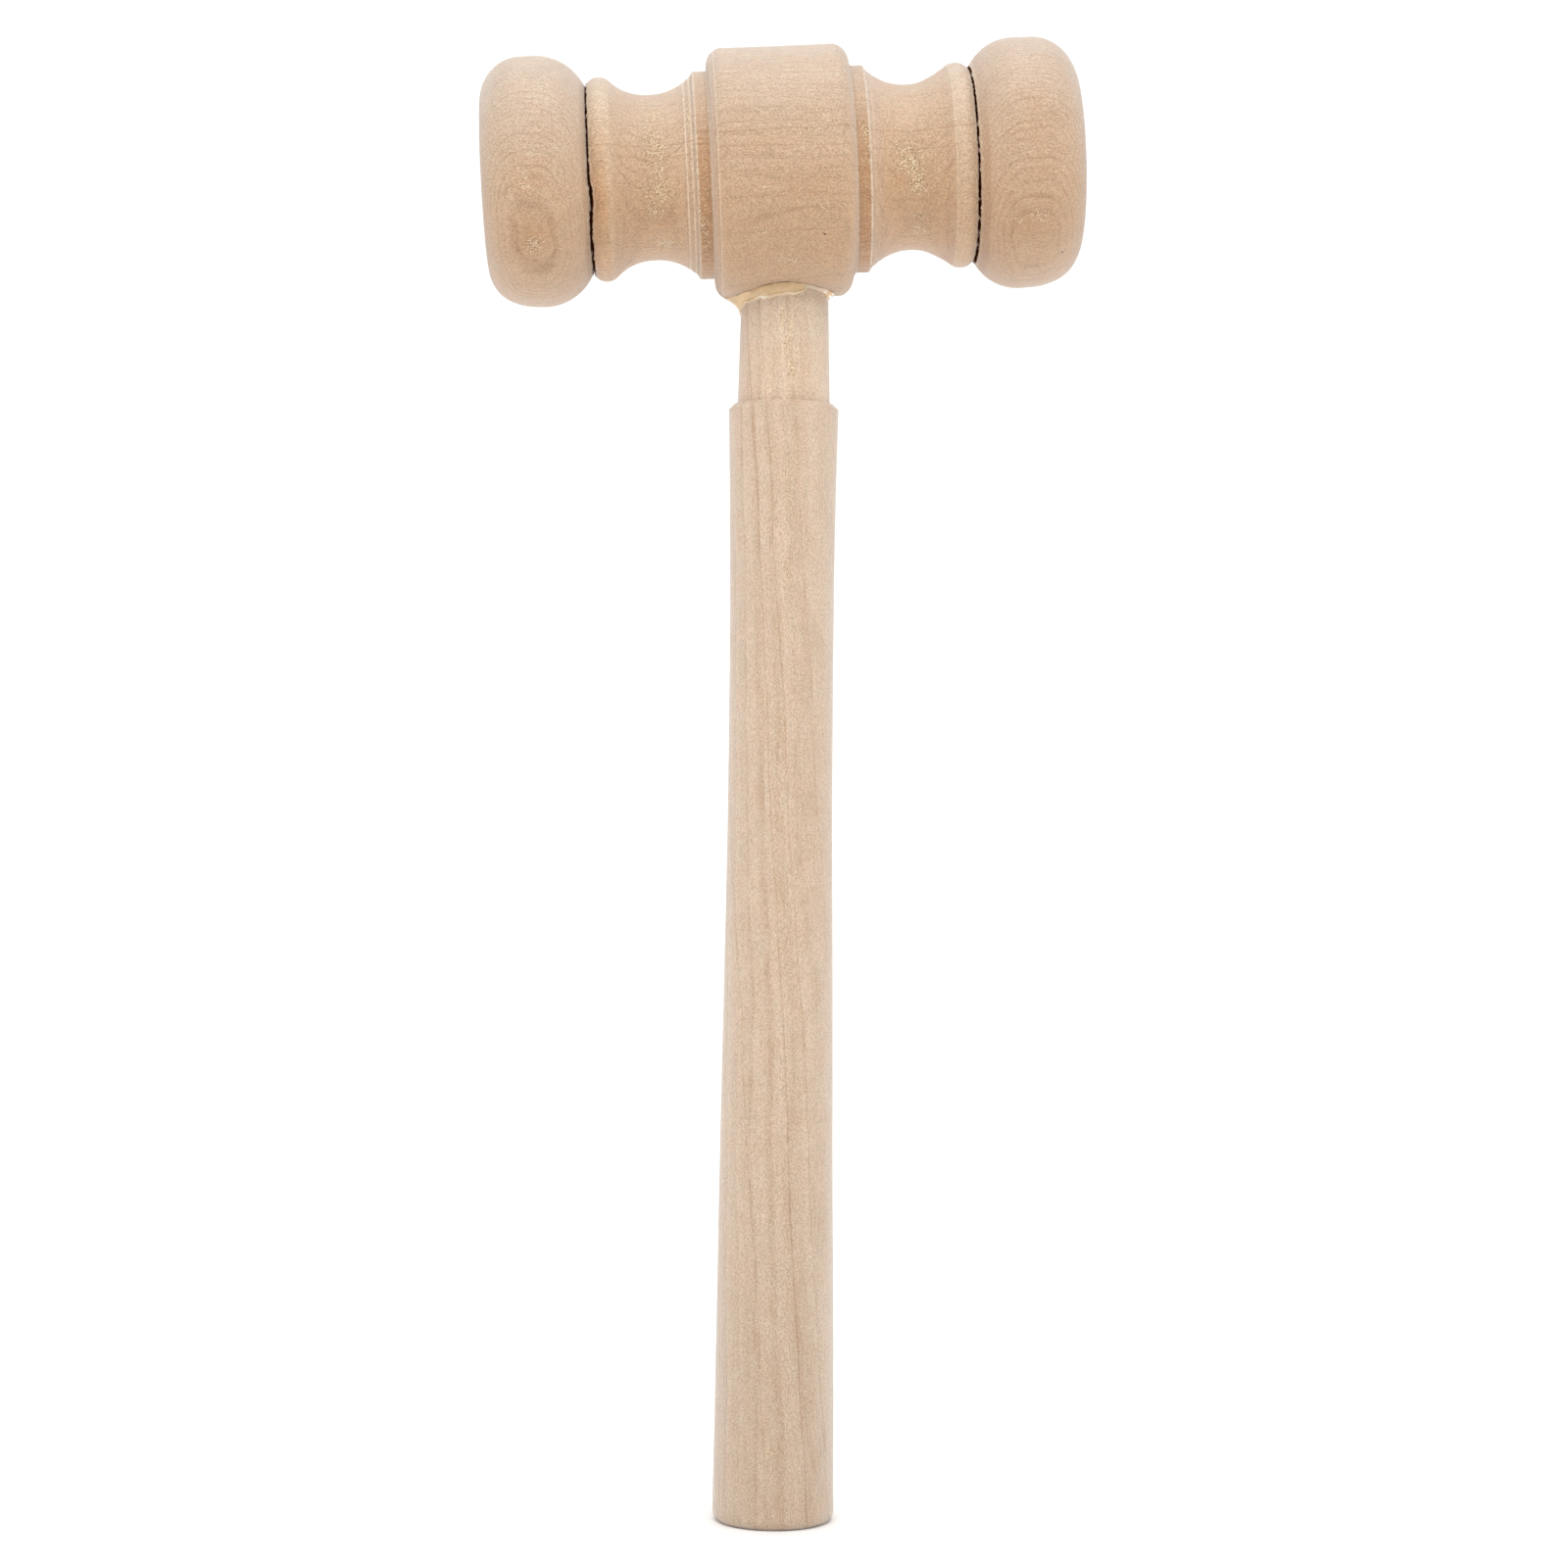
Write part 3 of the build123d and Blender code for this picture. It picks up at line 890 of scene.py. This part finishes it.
def colour_neck_glue(piece, front, ring, hang, contact, rows, free_steps):
    """Where the glue is thin, where it has painted highlights, and painted shade where it meets the
    barrel.
    """
    # Painted shade in broken dots where the glue meets the barrel.
    joint = ramp(noise3(ring / 0.8, 66), -0.9, 0.4) * ramp(abs(front), 110, 85)
    dark = np.zeros((rows, len(front)))
    dark[contact - 1:contact + 3] = joint
    free = np.zeros((rows, 1))
    free[0] = 1
    free[contact + 1:, 0] = np.arange(1, free_steps) / free_steps
    bare = ramp(hang, 1.5, 0.7) * ramp(abs(front - 74), 8, 22)
    thin = np.maximum(ramp(free, 0.84, 0.98) * 0.6, bare)
    glint = ramp(noise3(ring / 0.5, 68) + 0.5 * np.sin(free * 19), 0.1, 0.7)
    # Painted highlights on the glue's lip and on the lump at the right.
    skin = bump_at(free, 0.84, 0.05) * (bump_at(front, -32, 9) + 0.6 * bump_at(front, 5, 8))
    skin = skin + glint * bump_at(front, 70, 13) * ramp(free, 0.0, 0.12) * 1.6
    for name, values in (("dark", dark), ("thin", thin), ("skin", skin)):
        add_values(piece, name, np.broadcast_to(values, dark.shape).ravel())


def neck_glue():
    """The glue film in the socket and the uneven bead squeezed out below it."""
    segments, free_steps = 420, 30
    front = np.linspace(-180, 180, segments, endpoint=False)
    turn = np.radians(front)
    ways = np.column_stack((np.sin(turn), -np.cos(turn)))
    ring = np.column_stack((ways * 6, np.zeros(segments)))
    hang, spread, bulge = squeezed_out(front, ring)
    sections, contact = neck_glue_sections(ways, ring, hang, spread, bulge, free_steps)
    points = np.vstack([np.column_stack((ways * r[:, None], z)) for r, z in sections]) * MM
    index = np.arange(len(sections) * segments).reshape(len(sections), segments)
    below = np.roll(index, -1, axis=0)
    quads = np.stack((
        index, below, np.roll(below, -1, axis=1), np.roll(index, -1, axis=1),
    ), axis=-1).reshape(-1, 4)
    piece = new_object("neck_glue", points, quads.tolist())
    colour_neck_glue(piece, front, ring, hang, contact, len(sections), free_steps)
    return piece


# --------------------------------------------------------------- assembly
def cut_socket(piece):
    """Bores the handle's blind socket up into the head body."""
    segments = 128
    start_z = tenon_start_z - 6
    outline = np.vstack((
        line((start_z, 0), (start_z, socket_r), 2),
        line((start_z, socket_r), (socket_top_z, socket_r), 2),
        line((socket_top_z, socket_r), (socket_top_z, 0), 2),
        [(socket_top_z, 0)],
    ))
    cutter = turned("socket_cutter", outline, segments, handle_place, lambda grid: None)
    cut = piece.modifiers.new("socket", "BOOLEAN")
    cut.operation = "DIFFERENCE"
    cut.solver = "EXACT"
    cut.object = cutter
    depsgraph = bpy.context.evaluated_depsgraph_get()
    mesh = bpy.data.meshes.new_from_object(piece.evaluated_get(depsgraph))
    piece.modifiers.clear()
    whole = piece.data
    piece.data = mesh
    bpy.data.meshes.remove(whole)
    bpy.data.objects.remove(cutter)


fine = 0.36
round_steps = 360

head_body = turned("head_body_wood", head_body_outline(fine), round_steps, head_place, head_body_surface)
cut_socket(head_body)
left_outline = knob_outline(fine, *left_knob_sizes)[::-1] * (-1, 1)
right_outline = knob_outline(fine, *right_knob_sizes)
left_knob = turned("left_knob_wood", left_outline, round_steps, head_place, left_knob_surface)
right_knob = turned("right_knob_wood", right_outline, round_steps, head_place, right_knob_surface)
handle = turned("handle_wood", handle_outline(fine), round_steps // 2, handle_place, handle_surface)
glue = neck_glue()

head_light, head_deep = (0.508, 0.351, 0.227), (0.395, 0.250, 0.145)
# The next colour is painted shade for grooves; the pale line colour below is a painted highlight for
# ridges and edges.
painted_furrow_shade = (0.30, 0.185, 0.10)
orange, honey = (0.965, 0.845, 0.68), (0.93, 0.86, 0.76)
painted_highlight, lilac = (0.76, 0.65, 0.50), (0.955, 0.94, 0.95)
woods = {
    head_body: wood(
        "head_body_wood", head_place, (16, 18), (0, 0.6, 0.8), 1.15, head_light, head_deep,
        mottle=0.7, crisp=0.66,
        veins=(
            (2, 3.4, 0.02, 0.8), (2, 0.8, -0.01, 0.55), (2, 10.4, 0.0, 0.45), (2, -3.1, 0.01, 0.4),
            (2, -12.6, 0.0, 0.5), (2, 7.0, 0.012, 0.3), (2, -7.4, 0.0, 0.3),
        ),
        bands=(
            # The orange collar bands, fading towards the top, are ruddier wood and painted shade in the
            # recess.
            (-14.2, -12.25, 0.12, 0.1, orange), (12.25, 14.15, 0.12, 0.1, orange),
            (-28.6, -14.8, 0.5, 1.0, (1.08, 1.07, 1.045)), (14.8, 28.4, 0.5, 1.0, (1.09, 1.06, 1.01)),
            (-11.9, -11.05, 0.12, 0.8, lilac), (11.3, 11.9, 0.12, 0.8, lilac),
            (15.0, 16.6, 0.2, 0.6, (0.96, 0.97, 1.06)), (-16.9, -14.6, 0.2, 0.6, (0.98, 0.99, 1.03)),
            (-32.3, -29.4, 0.4, 0.0, (0.94, 0.84, 0.74)), (26.9, 28.2, 0.4, 0.4, (0.93, 0.92, 0.94)),
            (28.6, 31.9, 0.25, 1.0, (1.15, 1.20, 1.27)), (-32.0, -28.5, 0.4, 1.0, (1.15, 1.22, 1.26)),
        ),
        # Painted highlights along the fine beads, the collar's rounded corner and the rim crease, and
        # painted shade in the furrows beside them.
        lines=(
            (-14.35, 0.09, painted_highlight, 0.8), (14.35, 0.10, painted_highlight, 1.0), (-15.1, 0.09, painted_highlight, 0.75),
            (-16.05, 0.09, painted_highlight, 0.85), (15.2, 0.07, painted_highlight, 0.5), (-10.85, 0.08, painted_highlight, 0.6),
            (-12.0, 0.08, painted_highlight, 0.6), (12.0, 0.08, painted_highlight, 0.6), (28.65, 0.08, painted_highlight, 0.5),
            (-14.72, 0.09, painted_furrow_shade, 0.5), (-15.6, 0.09, painted_furrow_shade, 0.45), (-16.4, 0.08, painted_furrow_shade, 0.25),
            (-12.4, 0.08, painted_furrow_shade, 0.5), (12.35, 0.09, painted_furrow_shade, 0.6), (-11.2, 0.08, painted_furrow_shade, 0.3),
        ),
    ),
    left_knob: wood(
        "left_knob_wood", head_place, (20, 14.5), (0, -0.8, 0.5), 0.62,
        (0.516, 0.368, 0.249), (0.39, 0.248, 0.148),
        bands=((-33.4, -32.4, 0.2, 0.6, honey),),
        mottle=0.9, crisp=0.45, wander=1.2,
    ),
    right_knob: wood(
        "right_knob_wood", head_place, (15.5, 17.5), (0, 1.0, -0.7), 0.66,
        (0.508, 0.352, 0.231), (0.375, 0.232, 0.131),
        bands=((32.4, 34.0, 0.3, 0.5, (0.88, 0.78, 0.66)),),
        fine_grain=0.95, mottle=0.9, crisp=0.45, wander=1.2,
    ),
    handle: wood(
        "handle_wood", handle_place, (-22, 12), (0, 1.2, 1.6), 2.9,
        (0.607, 0.452, 0.325), (0.50, 0.345, 0.222),
        bands=(
            # The first band is painted shade, darker towards the flat end; the next two are painted light
            # on the neck under the barrel.
            (-60, 45, 50, 1.0, (0.87, 0.86, 0.85)), (190, 200, 1.0, 1.0, (1.09, 1.10, 1.11)),
            (200, 206, 1.0, 1.0, (1.10, 1.15, 1.18)),
        ),
        veins=(
            (1, 5.4, -0.058, 0.9), (1, 9.25, -0.066, 0.7),
            (1, -1.05, -0.062, 0.55), (1, 14.6, -0.07, 0.45),
        ),
        fine_grain=0.85, mottle=0.9, crisp=0.1, lower=(1.0, 1.0, 1.0), upper=(1.0, 1.0, 1.0),
    ),
}
stands_for = {
    head_body: "head_body", left_knob: "left_knob", right_knob: "right_knob", handle: "handle",
    glue: "handle_glue",
}

for piece, material in woods.items():
    piece.data.materials.clear()
    piece.data.materials.append(material)
# The darkest seam faces get a near-black matt material: painted shade in the gaps.
burnt_edge = charred_seam_shade("burnt_edge")
for piece in (head_body, left_knob, right_knob):
    char_painted_shade(piece, burnt_edge)
glue.data.materials.append(dried_glue("neck_glue", handle_place, (0.775, 0.555, 0.328), 0.12))
for piece, node in stands_for.items():
    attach(piece, "root")
    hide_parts(node)

dowel_wood = wood(
    "dowel_wood", head_place, (3, -14), (0, 0, 0), 1.9, (0.66, 0.47, 0.31), (0.55, 0.37, 0.23),
)
# The seam glue deep in the slits is near-black: painted shade in the gap.
seam_glue = dried_glue("seam_glue", head_place, (0.05, 0.012, 0.003), 0.0, gloss=0.0)
for name, node in frame["nodes"].items():
    if name not in stands_for.values():
        for finish in node.material_slots:
            finish.material = dowel_wood if "dowel" in name else seam_glue


# ------------------------------------------------------------------ stage
def plain_white(name, strength):
    """A pale matt surface with the faintest unevenness."""
    t = Tree(name)
    object_space = t.node("ShaderNodeTexCoord").outputs["Object"]
    cloud = t.noise(t.vector("MULTIPLY", object_space, (3, 3, 3)), 2)
    high, low = rgb(*(strength,) * 3), rgb(*(strength * 0.985,) * 3)
    colour = t.mix(cloud, high, low)
    return t.finish(t.node("ShaderNodeBsdfPrincipled", {"Base Color": colour, "Roughness": 0.9}))


def studio_sweep():
    """Floor and backdrop in one pale sheet, curving up behind the object."""
    reach, behind, bend, tall, steps = 3.0, 1.6, 0.5, 3.0, 24
    profile = [(-reach, 0.0)]
    for k in range(steps + 1):
        angle = math.pi / 2 * k / steps
        profile.append((behind - bend + bend * math.sin(angle), bend - bend * math.cos(angle)))
    profile.append((behind, tall))
    points = np.array([(side * reach, y, z) for side in (-1, 1) for y, z in profile])
    count = len(profile)
    faces = [(k, k + count, k + count + 1, k + 1) for k in range(count - 1)]
    sheet = new_object("studio_sweep", points, faces)
    sheet.data.materials.append(plain_white("studio_white", 0.92))


def soft_light(name, place, aim, size, watts):
    """A rectangular softbox at a place, pointed at another, in metres."""
    lamp = bpy.data.lights.new(name, "AREA")
    lamp.shape = "RECTANGLE"
    lamp.size, lamp.size_y = size
    lamp.energy = watts
    lamp.color = (1.0, 0.99, 0.975)
    light = bpy.data.objects.new(name, lamp)
    light.location = place
    light.rotation_euler = (Vector(aim) - Vector(place)).to_track_quat("-Z", "Y").to_euler()
    bpy.context.collection.objects.link(light)


def camera():
    """Eye level with the middle of the handle, turned slightly to the -X side."""
    turn, distance, height = math.radians(-1.8736), 0.57294, 0.12575
    tilt, roll, aside = -0.0013, -0.0100, 0.00066
    data = bpy.data.cameras.new("camera")
    data.sensor_width = 36.0
    data.lens = 77.35
    eye = bpy.data.objects.new("camera", data)
    spin = Matrix.Rotation(turn, 4, "Z")
    small = Matrix.Rotation(tilt, 4, "X") @ Matrix.Rotation(roll, 4, "Y")
    upright = Matrix.Rotation(math.radians(90), 4, "X")
    eye.matrix_world = spin @ Matrix.Translation((aside, -distance, height)) @ small @ upright
    bpy.context.collection.objects.link(eye)
    bpy.context.scene.camera = eye


studio_sweep()
soft_light("key_above", (0, -0.50, 0.78), (0, 0, 0.22), (0.7, 0.35), 4.2)
soft_light("left_fill", (-0.9, -0.3, 0.5), (0, 0, 0.16), (0.5, 0.8), 3.2)
soft_light("right_fill", (0.9, -0.3, 0.5), (0, 0, 0.16), (0.5, 0.8), 3.3)
soft_light("backdrop_wash", (0, 0.5, 1.7), (0, 1.6, 0.5), (2.0, 0.5), 21.0)
camera()

world = bpy.data.worlds.new("studio")
world.use_nodes = True
world.node_tree.nodes["Background"].inputs["Color"].default_value = rgb(1, 1, 1)
world.node_tree.nodes["Background"].inputs["Strength"].default_value = 0.38
bpy.context.scene.world = world
bpy.context.scene.view_settings.view_transform = "Standard"
